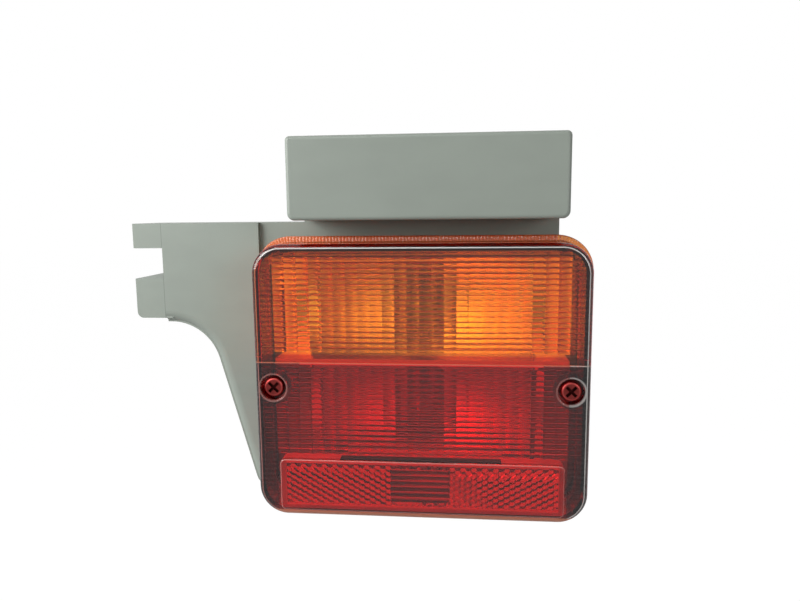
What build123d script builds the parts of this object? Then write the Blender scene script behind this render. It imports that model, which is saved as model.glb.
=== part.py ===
from build123d import *
import os
from math import cos, radians, sin, tan

# Rear lamp cluster: a moulded carrier with a fork and a hood, and the two-colour lamp that it holds.
# The sizes are written as seen from the front: X to the right, Z up, Y away from the viewer.
# X and Z start at the middle of the lens, and Y at the front of the carrier's plate.

# Lens
lens_width = 110.0
lens_height = 93.0
lens_corner_radius = 11.5
lens_depth = 14.5
lens_wall = 2.2
lens_front_wall = 2.0
lens_front_radius = 2.0
flange_lip = 2.0
flange_thickness = 2.5
flange_radius = 0.6
weld_height = 6.8
flute_pitch = 1.7
flute_rise = 0.3
flute_top_inset = 0.6
margin_width = 4.3
margin_groove = 0.8
well_inset = 7.95
well_drop = 8.25
well_radius = 4.15
well_wall = 1.5
well_depth = 3.6
well_floor = 2.0

# Reflex strip in the red half
reflex_inset = 9.5
reflex_height = 17.2
reflex_above_edge = 2.2
reflex_rise = 0.6
reflex_corner = 1.6
reflex_edge_radius = 0.48
reflex_window_width = 19.4
reflex_prism_pitch = 2.0
reflex_prism_rise = 0.9
reflex_border = 1.6
backing_thickness = 1.4
backing_standoff = 2.6
shade_width = 51.5
shade_depth = 8.0

# Lamp body
gasket_thickness = 1.0
rim_height = 3.0
tray_floor = 1.9
bowl_side_inset = 15.5
bowl_top_inset = 6.0
bowl_bottom_inset = 8.5
bowl_depth = 40.0
bowl_wall = 2.0
bowl_corner = 4.0
partition_thickness = 2.0
post_radius = 3.3
hook_reach = 0.7
hook_length = 6.0
hook_width = 6.0
pad_thickness = 1.5
pad_margin = 1.0
pad_corner = 3.0

# Carrier
plate_thickness = 3.0
plate_margin = 5.0
carrier_above_lens = 4.5
carrier_foot_inset = 3.0
carrier_wall = 2.5
carrier_depth = 22.0
carrier_corner = 5.0
seam_gap = 0.7
foot_reach = 3.4
arm_step = 1.8
arm_length = 34.4
arm_height = 34.4
arm_curve = 17.5
arm_level = 14.6
arm_edge_radius = 4.0
fork_length = 10.5
fork_slot_width = 10.6
fork_upper_height = 8.5
fork_lower_height = 13.9
fork_recess = 0.5
fork_corner = 2.2
hood_width = 85.0
hood_height = 25.3
hood_rise = 0.8
hood_front = -23.0
hood_lower_corner = 2.2
hood_upper_corner = 1.4
hood_edge_radius = 1.2
boss_spacing = 60.0
boss_radius = 4.6
boss_hole_radius = 2.15
boss_hole_depth = 18.0
rib_thickness = 2.0

# Bulbs, sockets and contacts
glass_radius = 12.5
glass_length = 31.0
glass_wall = 0.8
glass_shoulder = 35.0
filament_spacing = 1.0
filament_stagger = 2.0
cap_radius = 7.5
cap_length = 15.0
cap_wall = 1.1
neck_depth = 7.0
pin_radius = 1.0
pin_rise = 1.1
pin_setback = 9.8
tip_height = 1.0
socket_wall = 0.8
socket_length = 16.0
socket_ear = 5.6
rivet_radius = 1.5
rivet_head_radius = 2.6
rivet_head_height = 1.0
insulator_thickness = 1.6
contact_travel = 2.4
contact_thickness = 0.8
blade_width = 4.8
blade_length = 8.0
twin_blade_x = 3.3
single_blade_x = 4.6
strap_thickness = 0.8
strap_width = 7.0

# Reflectors
reflector_thickness = 1.2
reflector_bulb_gap = 1.6
reflector_lead = 2.5
reflector_ear_height = 11.0
reflector_ear_reach = 4.0
reflector_ear_root = 2.0
reflector_sink = 0.5
reflector_overrun = 11.2
stop_reflector_drop = 15.0

# Fasteners
screw_radius = 1.9
screw_head_radius = 3.2
screw_head_height = 2.2
screw_head_round = 0.9
screw_recess_depth = 1.2
screw_recess_reach = 2.1
screw_recess_half = 0.48
screw_point = 0.95
washer_thickness = 0.8
washer_radius = 3.7
lens_screw_length = 9.0
lens_screw_turn = 45.0
body_screw_length = 11.0
body_screw_top_inset = 5.5
body_screw_bottom_inset = 6.0

# Clearances
running_gap = 0.3
slip_gap = 0.15
hole_gap = 0.4
bowl_gap = 0.5
bond_depth = 0.4

# Depths worked out from the plate's front face
tray_back = -pad_thickness
tray_front = tray_back - tray_floor
rim_front = tray_back - rim_height
lens_back = rim_front - gasket_thickness
lens_front = lens_back - lens_depth
lens_inside = lens_front + lens_front_wall
well_seat = lens_front + well_depth
post_front = well_seat + well_floor
bowl_floor = bowl_depth - bowl_wall
flange_back_step = lens_back - flange_thickness

# Half sizes of the nested outlines
skirt_half_x = lens_width / 2 - flange_lip
skirt_half_z = lens_height / 2 - flange_lip
skirt_corner = lens_corner_radius - flange_lip
inner_half_x = skirt_half_x - lens_wall
inner_half_z = skirt_half_z - lens_wall
inner_corner = max(skirt_corner - lens_wall, 1.0)
bowl_half = lens_width / 2 - bowl_side_inset
bowl_width = 2 * bowl_half
bowl_top = lens_height / 2 - bowl_top_inset
bowl_bottom = bowl_bottom_inset - lens_height / 2
bowl_mid_z = (bowl_top + bowl_bottom) / 2
bowl_height = bowl_top - bowl_bottom
well_x = lens_width / 2 - well_inset
well_height = weld_height - well_drop
plate_right = bowl_half + bowl_gap + plate_margin
carrier_top = lens_height / 2 + carrier_above_lens
carrier_bottom = carrier_foot_inset - lens_height / 2
seam_x = -lens_width / 2 - seam_gap
foot_x = seam_x - foot_reach
arm_bottom = carrier_top - arm_height
fork_root_x = seam_x - arm_length
hood_right = plate_right
hood_left = hood_right - hood_width
hood_bottom = carrier_top + hood_rise
hood_top = hood_bottom + hood_height
hood_mid_x = (hood_left + hood_right) / 2
hood_mid_z = (hood_bottom + hood_top) / 2
reflex_width = lens_width - 2 * reflex_inset
reflex_low = -skirt_half_z + reflex_above_edge
reflex_mid_z = reflex_low + reflex_height / 2
reflex_top = reflex_low + reflex_height

# Each bulb is in the middle of its chamber, and the tray's screws are midway between the bowl and the rim
partition_low = weld_height - partition_thickness / 2
partition_high = weld_height + partition_thickness / 2
indicator_height = (partition_high + bowl_top - bowl_wall) / 2
stop_height = (reflex_top + partition_low) / 2
body_screw_x = -(bowl_half + inner_half_x) / 2
body_screw_upper = bowl_top - body_screw_top_inset
body_screw_lower = bowl_bottom + body_screw_bottom_inset

# The bulbs stand on the bowl's floor, so their depths follow from it
insulator_front = bowl_floor - insulator_thickness
contact_front = insulator_front - contact_travel
cap_back = contact_front - tip_height
cap_front = cap_back - cap_length
neck_seat = cap_front + neck_depth
glass_tip = cap_front - glass_length
glass_centre = glass_tip + glass_radius
socket_radius = cap_radius + slip_gap
socket_outer = socket_radius + socket_wall
socket_front = bowl_floor - socket_length
socket_ear_half = socket_outer + socket_ear
rivet_spread = socket_outer + rivet_head_radius
pin_depth = cap_front + pin_setback
filament_depth = glass_centre


def slab(sketch, front, back):
    """A solid between two depths, from a sketch drawn in X and Z as it is seen from the front."""
    return Pos(0, back, 0) * extrude(Plane.XZ * sketch, amount=back - front)


def brick(left, right, low, high, front, back):
    """A plain block given by its six sides."""
    middle = Pos((left + right) / 2, (low + high) / 2)
    return slab(middle * Rectangle(right - left, high - low), front, back)


def rod(x, z, radius, front, back):
    """A round bar along the depth."""
    return slab(Pos(x, z) * Circle(radius), front, back)


def rounded(half_x, half_z, corner):
    """The rounded outline that the lens, its gasket and the tray share."""
    return RectangleRounded(2 * half_x, 2 * half_z, corner)


def both_sides(shape):
    """A shape and its copy mirrored left to right."""
    return [shape, mirror(shape, about=Plane.YZ)]


def lens_shell():
    """The clear box with a flat front, a skirt and a flange, before it is divided by colour."""
    skirt = slab(rounded(skirt_half_x, skirt_half_z, skirt_corner), lens_front, lens_back)
    skirt = fillet(skirt.faces().sort_by(Axis.Y)[0].edges(), lens_front_radius)
    flange = slab(rounded(lens_width / 2, lens_height / 2, lens_corner_radius), flange_back_step, lens_back)
    flange = fillet(flange.faces().sort_by(Axis.Y)[0].edges(), flange_radius)
    hollow = slab(rounded(inner_half_x, inner_half_z, inner_corner), lens_inside, lens_back)
    shell = skirt + flange - hollow
    for side in (-1, 1):
        tube = rod(side * well_x, well_height, well_radius + well_wall, lens_inside, post_front)
        shell += tube & slab(rounded(skirt_half_x, skirt_half_z, skirt_corner), lens_front, lens_back)
    return shell


def well_cuts():
    """The two stepped holes that the lens screws go down."""
    cuts = []
    for side in (-1, 1):
        cuts.append(rod(side * well_x, well_height, well_radius, lens_front, well_seat))
        cuts.append(rod(side * well_x, well_height, screw_radius + hole_gap, lens_front, post_front))
    return cuts


def flutes(low, high, left, right):
    """A row of level rounded bars on the inner face of the lens, one beside the other."""
    count = int((high - low) / flute_pitch)
    start = (low + high - count * flute_pitch) / 2
    root = lens_inside
    waves = Curve()
    for i in range(count):
        z = start + i * flute_pitch
        crest = (root + flute_rise, z + flute_pitch / 2)
        waves += ThreePointArc((root, z), crest, (root, z + flute_pitch))
    end = start + count * flute_pitch
    waves += Polyline((root, end), (root - bond_depth, end), (root - bond_depth, start), (root, start))
    return Pos(left, 0, 0) * extrude(Plane.YZ * make_face(waves.edges()), amount=right - left)


def prisms(left, right, low, high):
    """A row of upright V ridges behind the reflex strip."""
    count = int((right - left) / reflex_prism_pitch)
    start = (left + right - count * reflex_prism_pitch) / 2
    points = [(start, lens_inside - bond_depth), (start, lens_inside)]
    for i in range(count):
        x = start + i * reflex_prism_pitch
        points.append((x + reflex_prism_pitch / 2, lens_inside + reflex_prism_rise))
        points.append((x + reflex_prism_pitch, lens_inside))
    points.append((start + count * reflex_prism_pitch, lens_inside - bond_depth))
    return Pos(0, 0, low) * extrude(make_face(Polyline(*points, close=True)), amount=high - low)


def fluted_zone(low, high):
    """Flutes over the whole width, parted by an upright groove near each side wall."""
    outline = rounded(inner_half_x + bond_depth, inner_half_z + bond_depth, inner_corner + bond_depth)
    zone = flutes(low, high, -inner_half_x - bond_depth, inner_half_x + bond_depth)
    zone &= slab(outline, lens_inside - bond_depth, lens_inside + 2 * flute_rise)
    edge = inner_half_x - margin_width
    for side in (-1, 1):
        middle = side * (edge + margin_groove / 2)
        zone -= brick(middle - margin_groove / 2, middle + margin_groove / 2, low - flute_pitch,
                      high + flute_pitch, lens_inside, lens_inside + 2 * flute_rise)
    return zone


def amber_lens():
    """The upper, amber half of the lens."""
    half = brick(-lens_width, lens_width, weld_height, lens_height, 2 * lens_front, lens_back)
    zone = fluted_zone(weld_height + partition_thickness, inner_half_z - flute_top_inset)
    return (lens_shell() & half) + zone


def red_lens():
    """The lower, red half of the lens, with the raised reflex strip and the screw wells."""
    half = brick(-lens_width, lens_width, -lens_height, weld_height, 2 * lens_front, lens_back)
    lens = lens_shell() & half
    lens += fluted_zone(reflex_top + reflex_border, weld_height - partition_thickness)
    strip = slab(Pos(0, reflex_mid_z) * rounded(reflex_width / 2, reflex_height / 2, reflex_corner),
                 lens_front - reflex_rise, lens_inside)
    strip = fillet(strip.faces().sort_by(Axis.Y)[0].edges(), reflex_edge_radius)
    lens += strip
    low = reflex_low + 2 * reflex_border
    high = reflex_top - 2 * reflex_border
    side = reflex_width / 2 - 2 * reflex_border
    window = reflex_window_width / 2
    lens += flutes(low, high, -window + running_gap, window - running_gap)
    lens += prisms(-side, -window, low, high)
    lens += prisms(window, side, low, high)
    for cut in well_cuts():
        lens -= cut
    return lens


def reflex_backing():
    """The cover welded behind the reflex strip, open at its window, with a shade along its top."""
    outline = Pos(0, reflex_mid_z) * rounded(reflex_width / 2, reflex_height / 2, reflex_corner)
    outline &= rounded(inner_half_x - running_gap, inner_half_z - running_gap, inner_corner - running_gap)
    back = lens_inside + backing_standoff + backing_thickness
    inset_x = reflex_width / 2 - reflex_border
    inset_z = reflex_height / 2 - reflex_border
    cover = slab(outline, lens_inside, back)
    cover -= slab(Pos(0, reflex_mid_z) * Rectangle(2 * inset_x, 2 * inset_z), lens_inside,
                  lens_inside + backing_standoff)
    window = reflex_window_width / 2
    cover -= brick(-window, window, reflex_mid_z - inset_z, reflex_mid_z + inset_z, lens_inside, back)
    cover += brick(-shade_width / 2, shade_width / 2, reflex_top - reflex_border, reflex_top,
                   lens_inside, lens_inside + shade_depth)
    return cover


def lens_gasket():
    """The flat ring between the end of the lens skirt and the rim of the tray."""
    ring = slab(rounded(skirt_half_x, skirt_half_z, skirt_corner), lens_back, rim_front)
    return ring - slab(rounded(inner_half_x, inner_half_z, inner_corner), lens_back, rim_front)


def lens_screw_places():
    return [(side * well_x, well_height) for side in (-1, 1)]


def body_screw_places():
    return [(body_screw_x, body_screw_upper), (body_screw_x, body_screw_lower)]


def bulb_places():
    return [indicator_height, stop_height]


def contact_places(height, twin):
    """Where the contact blades pass, each as its side along X and its middle height."""
    offset = blade_width / 2 + tip_height
    if twin:
        return [(1, height + offset), (-1, height - offset)]
    return [(1, height)]


def blade_x(twin):
    """How far a blade stands from the bulb's axis: nearer in a socket with two of them."""
    return twin_blade_x if twin else single_blade_x


def blade_slots(front, back):
    """The slots that the contact blades pass through."""
    slots = []
    for height, twin in ((indicator_height, False), (stop_height, True)):
        for side, z in contact_places(height, twin):
            x = side * (blade_x(twin) + contact_thickness / 2)
            half = contact_thickness / 2 + slip_gap
            tall = blade_width / 2 + slip_gap
            slots.append(brick(x - half, x + half, z - tall, z + tall, front, back))
    return slots


def lamp_body():
    """The moulded base: a shallow tray under the lens, and a deep bowl parted into two chambers."""
    tray = slab(rounded(skirt_half_x, skirt_half_z, skirt_corner), rim_front, tray_back)
    tray -= slab(rounded(inner_half_x, inner_half_z, inner_corner), rim_front, tray_front)
    bowl_place = Pos(0, bowl_mid_z)
    bowl = slab(bowl_place * RectangleRounded(bowl_width, bowl_height, bowl_corner), tray_front, bowl_depth)
    bowl = fillet(bowl.faces().sort_by(Axis.Y)[-1].edges(), bowl_wall)
    room_width = bowl_width - 2 * bowl_wall
    room_height = bowl_height - 2 * bowl_wall
    room = bowl_place * RectangleRounded(room_width, room_height, bowl_corner - bowl_wall / 2)
    body = tray + bowl - slab(room, tray_front, bowl_floor)
    wall_x = bowl_half - bowl_wall / 2
    wall_front = lens_inside + flute_rise + running_gap
    wide = inner_half_x - margin_width
    body += brick(-wall_x, wall_x, partition_low, partition_high, tray_front, bowl_floor)
    body += brick(-wide, wide, partition_low, partition_high, wall_front, tray_front)
    for x, z in lens_screw_places():
        body += rod(x, z, post_radius, post_front, tray_back)
        body -= rod(x, z, screw_radius + slip_gap / 2, post_front, tray_front)
    boss_front = plate_thickness + washer_thickness - body_screw_length - bowl_wall
    for x, z in body_screw_places():
        body += rod(x, z, screw_radius + bowl_wall, boss_front, tray_back)
        body -= rod(x, z, screw_radius + slip_gap / 2, boss_front + bowl_wall / 2, tray_back)
    hook_back = plate_thickness + slip_gap
    hook_root = bowl_half - bowl_wall / 2
    hook_tip = bowl_half + bowl_gap + hook_reach
    hook = Polyline((hook_root, hook_back), (hook_tip, hook_back), (hook_root, hook_back + hook_length),
                    close=True)
    for z in bulb_places():
        body += Pos(0, 0, z - hook_width / 2) * extrude(make_face(hook), amount=hook_width)
        for side in (-1, 1):
            body -= rod(side * rivet_spread, z, rivet_radius + slip_gap, bowl_floor, bowl_depth)
    for slot in blade_slots(bowl_floor, bowl_depth):
        body -= slot
    return body


def pad_limits():
    """The part of the plate that the tray covers, less a margin, as left, right, low and high."""
    left = -skirt_half_x + pad_margin
    right = plate_right - pad_margin
    low = carrier_bottom + pad_margin
    high = min(skirt_half_z, carrier_top) - pad_margin
    return left, right, low, high


def bowl_opening(front, back):
    """The window in the plate and in the pad that the bowl passes through."""
    width = bowl_width + 2 * bowl_gap
    height = bowl_height + 2 * bowl_gap
    return slab(Pos(0, bowl_mid_z) * RectangleRounded(width, height, bowl_corner), front, back)


def body_seal_pad():
    """The soft foam ring between the tray and the plate."""
    left, right, low, high = pad_limits()
    middle = Pos((left + right) / 2, (low + high) / 2)
    outline = middle * RectangleRounded(right - left, high - low, pad_corner)
    pad = slab(outline, tray_back, 0) - bowl_opening(tray_back, 0)
    for x, z in body_screw_places():
        pad -= rod(x, z, screw_radius + hole_gap, tray_back, 0)
    return pad


def carrier_outline():
    """The plate with the arm at its left: level on top, with a swept lower edge."""
    bend = (fork_root_x + arm_level, arm_bottom)
    outline = make_face(Polyline((plate_right, carrier_top), (fork_root_x, carrier_top),
                                 (fork_root_x, arm_bottom), bend, (foot_x, carrier_bottom),
                                 (plate_right, carrier_bottom), close=True))
    corners = outline.vertices()
    outline = fillet(corners.sort_by_distance((*bend, 0))[0], arm_curve)
    corners = outline.vertices()
    low_corners = [corners.sort_by_distance((x, carrier_bottom, 0))[0] for x in (foot_x, plate_right)]
    return fillet(low_corners, carrier_corner)


def arm_face(outline):
    """The raised skin of the arm, from the fork to the seam, rounded along its lower edge."""
    skin = slab(outline, -arm_step, carrier_depth)
    front_edges = skin.faces().sort_by(Axis.Y)[0].edges()
    lower = [edge for edge in front_edges if edge.center().Z < carrier_top - running_gap
             and edge.center().X > fork_root_x + running_gap]
    skin = fillet(lower, arm_edge_radius)
    return skin & brick(fork_root_x, seam_x, carrier_bottom, carrier_top, -arm_step, carrier_depth)


def fork():
    """The two tongues at the arm's end, with the slot between them, hollow from behind."""
    upper_low = carrier_top - fork_upper_height
    lower_high = upper_low - fork_slot_width
    lower_low = lower_high - fork_lower_height
    front = fork_recess - arm_step
    tip_x = fork_root_x - fork_length
    tongues = []
    for low, high in ((upper_low, carrier_top), (lower_low, lower_high)):
        tongue = brick(tip_x, fork_root_x + carrier_wall, low, high, front, carrier_depth)
        if low == lower_low:
            corner = tongue.edges().filter_by(Axis.Y).sort_by_distance((tip_x, 0, low))[0]
            tongue = fillet(corner, fork_corner)
        hollow = brick(tip_x + carrier_wall, fork_root_x + carrier_wall, low + carrier_wall,
                       high - carrier_wall, front + carrier_wall, carrier_depth)
        tongues.append((tongue, hollow))
    return tongues


def hood():
    """The deep box above the plate, rounded at its edges and open at the back."""
    box = brick(hood_left, hood_right, hood_bottom, hood_top, hood_front, carrier_depth)
    along = box.edges().filter_by(Axis.Y)
    box = fillet(along.sort_by(Axis.Z)[:2], hood_lower_corner)
    along = box.edges().filter_by(Axis.Y).sort_by(Axis.Z)
    box = fillet(along[-2:], hood_upper_corner)
    return fillet(box.faces().sort_by(Axis.Y)[0].edges(), hood_edge_radius)


def carrier():
    """The grey one-piece moulding: plate, arm, fork and hood, with ribs and screw bosses behind."""
    outline = carrier_outline()
    inside = offset(outline, amount=-carrier_wall, kind=Kind.INTERSECTION)
    body = slab(outline, 0, carrier_depth) + arm_face(outline)
    tongues = fork()
    for tongue, _ in tongues:
        body += tongue
    link_low = carrier_top - carrier_wall
    body += brick(hood_left, hood_right, link_low, hood_bottom + carrier_wall, 0, carrier_depth)
    body += hood()
    body -= slab(inside, plate_thickness, carrier_depth)
    arm_middle = Pos((fork_root_x + seam_x) / 2, 0)
    arm_room = arm_middle * Rectangle(arm_length - 2 * carrier_wall, 4 * carrier_top)
    body -= slab(inside & arm_room, carrier_wall - arm_step, carrier_depth)
    for _, hollow in tongues:
        body -= hollow
    room_left = hood_left + carrier_wall
    room_right = hood_right - carrier_wall
    body -= brick(room_left, room_right, hood_bottom + carrier_wall, hood_top - carrier_wall,
                  hood_front + carrier_wall, carrier_depth)
    body -= brick(room_left, room_right, link_low - running_gap, hood_bottom, plate_thickness, carrier_depth)
    rib_back = carrier_depth - carrier_wall
    for side in (-1, 1):
        x = hood_mid_x + side * boss_spacing / 2
        half = rib_thickness / 2
        body += brick(x - half, x + half, hood_bottom + carrier_wall / 2, hood_top - carrier_wall / 2,
                      hood_front + carrier_wall / 2, rib_back)
        body += rod(x, hood_mid_z, boss_radius, hood_front + carrier_wall / 2, carrier_depth)
        body -= rod(x, hood_mid_z, boss_hole_radius, carrier_depth - boss_hole_depth, carrier_depth)
    rib_z = (carrier_top + arm_bottom) / 2
    body += brick(fork_root_x + carrier_wall / 2, seam_x, rib_z - rib_thickness / 2, rib_z + rib_thickness / 2,
                  0, rib_back)
    body += brick(seam_x - rib_thickness / 2, seam_x + rib_thickness / 2, carrier_bottom + carrier_wall / 2,
                  carrier_top - carrier_wall / 2, 0, rib_back)
    body -= bowl_opening(0, plate_thickness)
    for x, z in body_screw_places():
        body -= rod(x, z, screw_radius + hole_gap, 0, plate_thickness)
    return body


def reflector(height, low, high):
    """A thin parabolic dish about one bulb, cut to its chamber, with an ear on the tray at each side."""
    edge = bowl_half - bowl_wall - running_gap
    hole = cap_radius + reflector_bulb_gap
    vertex = cap_front - reflector_lead
    ear_front = tray_front - reflector_thickness
    drop = vertex - ear_front - reflector_sink
    far = edge + reflector_overrun
    curve = drop / edge ** 2

    def arc(shift):
        start = vertex + shift - curve * hole ** 2
        end = vertex + shift - curve * far ** 2
        middle = start - curve * hole * (far - hole)
        return Bezier((hole, start), ((hole + far) / 2, middle), (far, end)), start, end

    front, front_start, front_end = arc(0)
    back, back_start, back_end = arc(reflector_thickness)
    section = make_face([front, Line((far, front_end), (far, back_end)), back,
                         Line((hole, back_start), (hole, front_start))])
    dish = Pos(0, 0, height) * revolve(section, Axis.Y)
    dish &= brick(-edge, edge, low, high, lens_inside + shade_depth, bowl_floor)
    ear_low = height - reflector_ear_height / 2
    ear_high = height + reflector_ear_height / 2
    ear = brick(edge - reflector_ear_root, edge + reflector_ear_reach, ear_low, ear_high, ear_front,
                tray_front)
    for side in both_sides(ear):
        dish += side
    return dish


def indicator_reflector():
    return reflector(indicator_height, partition_high + running_gap, bowl_top - bowl_wall - running_gap)


def stop_reflector():
    return reflector(stop_height, stop_height - stop_reflector_drop, partition_low - running_gap)


def bulb_glass(height):
    """The pear-shaped envelope: a ball drawn into a straight neck, with an even wall."""
    def solid(radius, neck):
        turn = radians(glass_shoulder)
        ball = (radius * cos(turn), glass_centre + radius * sin(turn))
        fall = (ball[0] - neck) / tan(turn)
        side = (radius * cos(turn / 4), glass_centre - radius * sin(turn / 4))
        rim = ThreePointArc((0, glass_centre - radius), side, ball)
        lines = Polyline(ball, (neck, ball[1] + fall), (neck, neck_seat), (0, neck_seat),
                         (0, glass_centre - radius))
        return revolve(make_face([rim, *lines.edges()]), Axis.Y)

    neck = cap_radius - cap_wall - slip_gap
    glass = solid(glass_radius, neck) - solid(glass_radius - glass_wall, neck - glass_wall)
    return Pos(0, 0, height) * glass


def bulb_cap(height, tips):
    """The bayonet cap with its two side pins and its end contacts."""
    cap = rod(0, 0, cap_radius, cap_front, cap_back) - rod(0, 0, cap_radius - cap_wall, cap_front, neck_seat)
    pin = Pos(0, pin_depth, 0) * Rot(0, 90, 0) * Cylinder(pin_radius, 2 * (cap_radius + pin_rise))
    cap += pin - rod(0, 0, cap_radius - cap_wall, cap_front, cap_back)
    for z in tips:
        cap += rod(0, z, 2 * tip_height, cap_back - tip_height, contact_front)
    return Pos(0, 0, height) * cap


def bulb_mount(height, filaments):
    """The glass stem, the support wires and the coiled filaments."""
    stem_end = (neck_seat + filament_depth) / 2
    neck = cap_radius - cap_wall - slip_gap - glass_wall
    root = neck - running_gap
    tip = root / 2
    stem = make_face(Polyline((0, neck_seat), (root, neck_seat), (tip, stem_end), (0, stem_end), close=True))
    mount = revolve(stem, Axis.Y)
    wire = glass_wall / 2
    span = tip - 2 * wire
    for z, depth in filaments:
        for side in (-1, 1):
            mount += rod(side * span, z, wire, depth, stem_end + tip)
        mount += Pos(0, depth, z) * Rot(0, 90, 0) * Cylinder(glass_wall, 2 * span + 4 * wire)
    return Pos(0, 0, height) * mount


def bulb_socket(height):
    """The steel bayonet tube with its J slots, on a base with two rivet holes."""
    base_front = bowl_floor - socket_wall
    socket = rod(0, 0, socket_outer, socket_front, bowl_floor)
    socket += slab(SlotOverall(2 * socket_ear_half, 2 * socket_outer), base_front, bowl_floor)
    socket -= rod(0, 0, socket_radius, socket_front, bowl_floor)
    slot = pin_radius + slip_gap
    turn = 4 * pin_radius
    path = brick(0, 2 * socket_outer, -turn - slot, -turn + slot, socket_front, pin_depth + slot)
    path += brick(0, 2 * socket_outer, -turn - slot, slot, pin_depth - slot, pin_depth + slot)
    socket -= path
    socket -= Rot(0, 180, 0) * path
    for side in (-1, 1):
        socket -= rod(side * rivet_spread, 0, rivet_radius + slip_gap, base_front, bowl_floor)
    return Pos(0, 0, height) * socket


def contact_insulator(height):
    """The insulating disc in the foot of a socket, slotted for the contact blades."""
    disc = rod(0, height, socket_radius - slip_gap, insulator_front, bowl_floor)
    for slot in blade_slots(insulator_front, bowl_floor):
        disc -= slot
    return disc


def contact(height, index, twin):
    """A brass strip that presses on a bulb's tip and runs back as a flat blade behind the bowl."""
    side, z = contact_places(height, twin)[index]
    near = blade_x(twin)
    tall = blade_width / 2
    strip = brick(-tall, near + contact_thickness, z - tall, z + tall, contact_front,
                  contact_front + contact_thickness)
    blade_end = bowl_depth + blade_length
    strip += brick(near, near + contact_thickness, z - tall, z + tall, contact_front, blade_end)
    bend = strip.edges().filter_by(Axis.Z).sort_by_distance((near + contact_thickness, contact_front, z))[0]
    strip = fillet(bend, contact_thickness)
    if side < 0:
        strip = mirror(strip, about=Plane.YZ)
    return strip


def earth_strap():
    """The strip behind the bowl that joins both sockets to earth, with a blade at its foot."""
    margin = strap_width / 2
    x = -rivet_spread
    back = bowl_depth + strap_thickness
    low = stop_height - margin - rivet_head_radius
    strap = brick(x - margin, x + margin, low, indicator_height + margin, bowl_depth, back)
    strap += brick(x - blade_width / 2, x + blade_width / 2, low, low + strap_thickness, bowl_depth,
                   bowl_depth + blade_length)
    for z in bulb_places():
        strap -= rod(x, z, rivet_radius + slip_gap, bowl_depth, back)
    return strap


def socket_rivets():
    """Four rivets that hold the sockets, the left pair through the strap as well."""
    rivets = []
    front = bowl_floor - socket_wall
    for z in bulb_places():
        for side in (-1, 1):
            x = side * rivet_spread
            back = bowl_depth + (strap_thickness if side < 0 else 0)
            rivet = rod(x, z, rivet_radius, front, back)
            rivet += rod(x, z, rivet_head_radius, front - rivet_head_height, front)
            rivet += rod(x, z, rivet_head_radius, back, back + rivet_head_height)
            rivets.append(rivet)
    return Compound(children=rivets)


def screw(length):
    """A cross-head screw along Y, with the underside of its head at the origin and its tip at +Y."""
    head = rod(0, 0, screw_head_radius, -screw_head_height, 0)
    head = fillet(head.faces().sort_by(Axis.Y)[0].edges(), screw_head_round)
    long = screw_recess_reach
    short = screw_recess_half
    deep = screw_recess_depth - screw_head_height
    head -= brick(-long, long, -short, short, -screw_head_height, deep)
    head -= brick(-short, short, -long, long, -screw_head_height, deep)
    shank = rod(0, 0, screw_radius, 0, length)
    return head + chamfer(shank.faces().sort_by(Axis.Y)[-1].edges(), screw_point)


def washers(places, front):
    """Sealing washers under the screw heads."""
    rings = []
    for x, z in places:
        ring = rod(x, z, washer_radius, front, front + washer_thickness)
        rings.append(ring - rod(x, z, screw_radius + slip_gap, front, front + washer_thickness))
    return Compound(children=rings)


def lens_screws():
    front = well_seat - washer_thickness
    turned = Rot(0, lens_screw_turn, 0) * screw(lens_screw_length)
    return Compound(children=[Pos(x, front, z) * turned for x, z in lens_screw_places()])


def body_screws():
    back = plate_thickness + washer_thickness
    turned = Rot(0, 0, 180) * screw(body_screw_length)
    return Compound(children=[Pos(x, back, z) * turned for x, z in body_screw_places()])


twin_tips = [blade_width / 2 + tip_height, -blade_width / 2 - tip_height]
single_filament = [(0.0, filament_depth)]
twin_filaments = [(filament_spacing, filament_depth), (-filament_spacing, filament_depth + filament_stagger)]
pieces = {
    "carrier": carrier(),
    "body_seal_pad": body_seal_pad(),
    "lamp_body": lamp_body(),
    "lens_gasket": lens_gasket(),
    "amber_lens": amber_lens(),
    "red_lens": red_lens(),
    "reflex_backing": reflex_backing(),
    "indicator_reflector": indicator_reflector(),
    "stop_reflector": stop_reflector(),
    "indicator_bulb_socket": bulb_socket(indicator_height),
    "stop_bulb_socket": bulb_socket(stop_height),
    "indicator_contact_insulator": contact_insulator(indicator_height),
    "stop_contact_insulator": contact_insulator(stop_height),
    "indicator_contact": contact(indicator_height, 0, False),
    "stop_contact": contact(stop_height, 0, True),
    "tail_contact": contact(stop_height, 1, True),
    "earth_strap": earth_strap(),
    "indicator_bulb_glass": bulb_glass(indicator_height),
    "stop_bulb_glass": bulb_glass(stop_height),
    "indicator_bulb_cap": bulb_cap(indicator_height, [0.0]),
    "stop_bulb_cap": bulb_cap(stop_height, twin_tips),
    "indicator_bulb_mount": bulb_mount(indicator_height, single_filament),
    "stop_bulb_mount": bulb_mount(stop_height, twin_filaments),
    "lens_screws": lens_screws(),
    "lens_screw_washers": washers(lens_screw_places(), well_seat - washer_thickness),
    "body_screws": body_screws(),
    "body_screw_washers": washers(body_screw_places(), plate_thickness),
    "socket_rivets": socket_rivets(),
}

# The part's own frame starts midway between the two screw bosses, on the plane of the carrier's back.
to_mount = Pos(-hood_mid_x, -carrier_depth, -hood_mid_z)
os.makedirs("parts", exist_ok=True)
for name, shape in pieces.items():
    solids = [to_mount * solid for solid in shape.solids()]
    export_step(solids[0] if len(solids) == 1 else Compound(children=solids), f"parts/{name}.step")
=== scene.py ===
"""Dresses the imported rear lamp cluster: its fluted two-colour lens, its finishes and a plain studio."""

from math import cos, log, pi, radians, sin, sqrt
from types import SimpleNamespace

import bmesh
import bpy
import numpy as np
from mathutils import Matrix, Vector


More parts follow.
